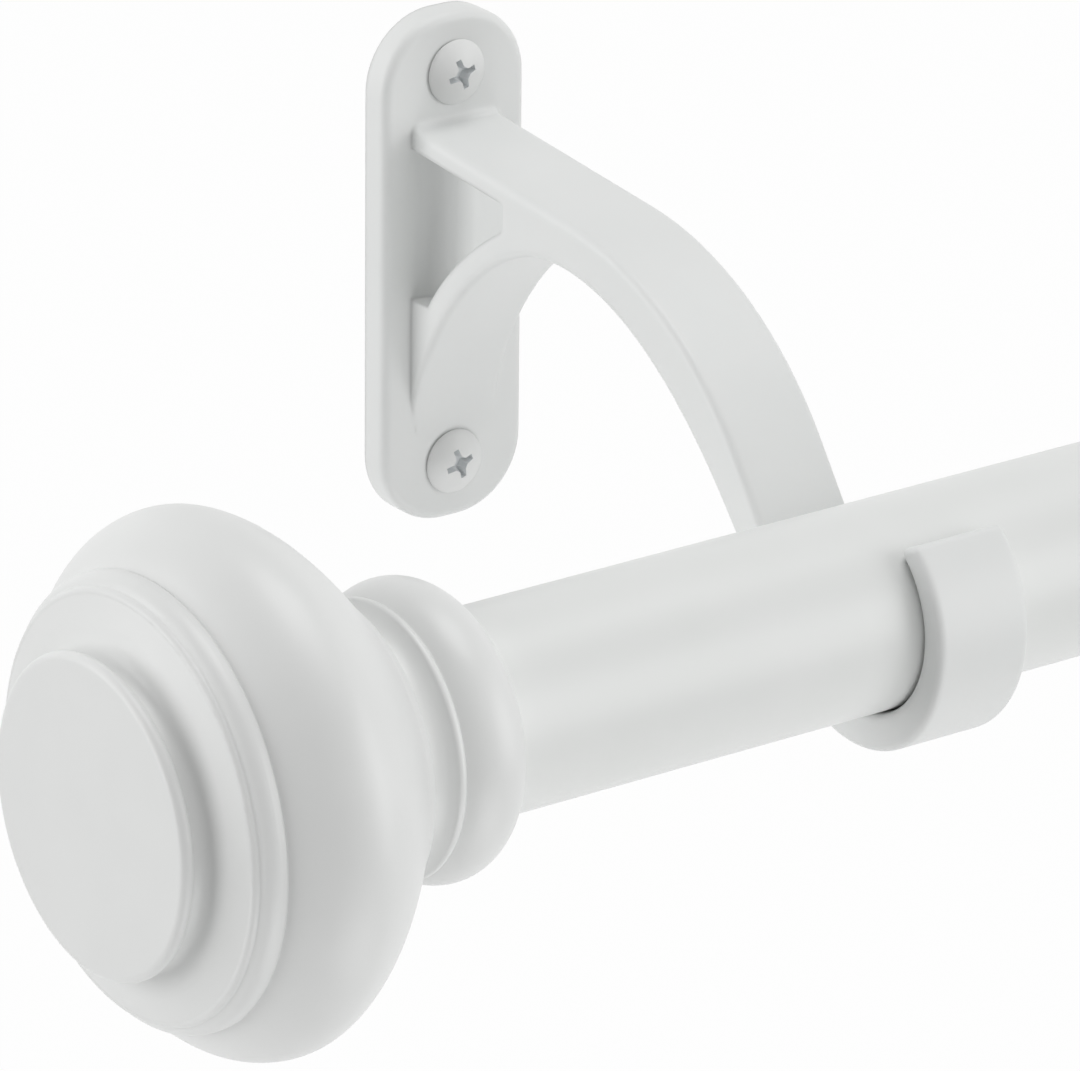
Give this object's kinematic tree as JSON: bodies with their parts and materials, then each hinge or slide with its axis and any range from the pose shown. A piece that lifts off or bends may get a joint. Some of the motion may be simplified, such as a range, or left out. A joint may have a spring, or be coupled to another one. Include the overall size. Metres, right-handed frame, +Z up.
{
  "type": "curtain rod",
  "caption": "Telescoping white curtain rod with turned knob finials, carried off the wall by cast brackets whose arched arms end in hooked cradles.",
  "frame": {"origin": "middle of the left wall plate's back face, on the wall", "axes": "+X along the rod to the right as the room sees it, +Y into the wall, +Z up"},
  "size_m": [0.813, 0.1381, 0.0834],
  "materials": {
    "casting_paint": "satin white paint on a zinc casting",
    "tube_paint": "smooth satin white paint on rolled steel tube",
    "screw_paint": "satin white paint, worn to bare steel in the driver recess",
    "resin_paint": "soft satin white paint on cast resin",
    "white_moulding": "matte white moulding",
    "natural_moulding": "uncoloured nylon",
    "plated_steel": "zinc plated"
  },
  "bodies": {
    "outer_rod": {"outer_tube": "tube_paint", "glide_bush": "white_moulding", "left_bracket": "casting_paint", "left_wall_screws": "screw_paint", "left_set_screw": "plated_steel"},
    "inner_rod": {"inner_tube": "tube_paint", "slide_plug": "natural_moulding", "end_sleeve": "white_moulding", "right_bracket": "casting_paint", "right_wall_screws": "screw_paint", "right_set_screw": "plated_steel"},
    "left_knob": {"left_finial": "resin_paint", "left_grip_plug": "natural_moulding", "left_plug_screw": "plated_steel"},
    "right_knob": {"right_finial": "resin_paint", "right_grip_plug": "natural_moulding", "right_plug_screw": "plated_steel"}
  },
  "joints": [
    {"name": "telescope", "type": "slide", "parent": "outer_rod", "child": "inner_rod", "axis": [1, 0, 0], "range_m": [0, 0.508]},
    {"name": "left_pull", "type": "slide", "parent": "outer_rod", "child": "left_knob", "axis": [-1, 0, 0], "range_m": [0, 0.03]},
    {"name": "right_pull", "type": "slide", "parent": "inner_rod", "child": "right_knob", "axis": [1, 0, 0], "range_m": [0, 0.03]}
  ]
}
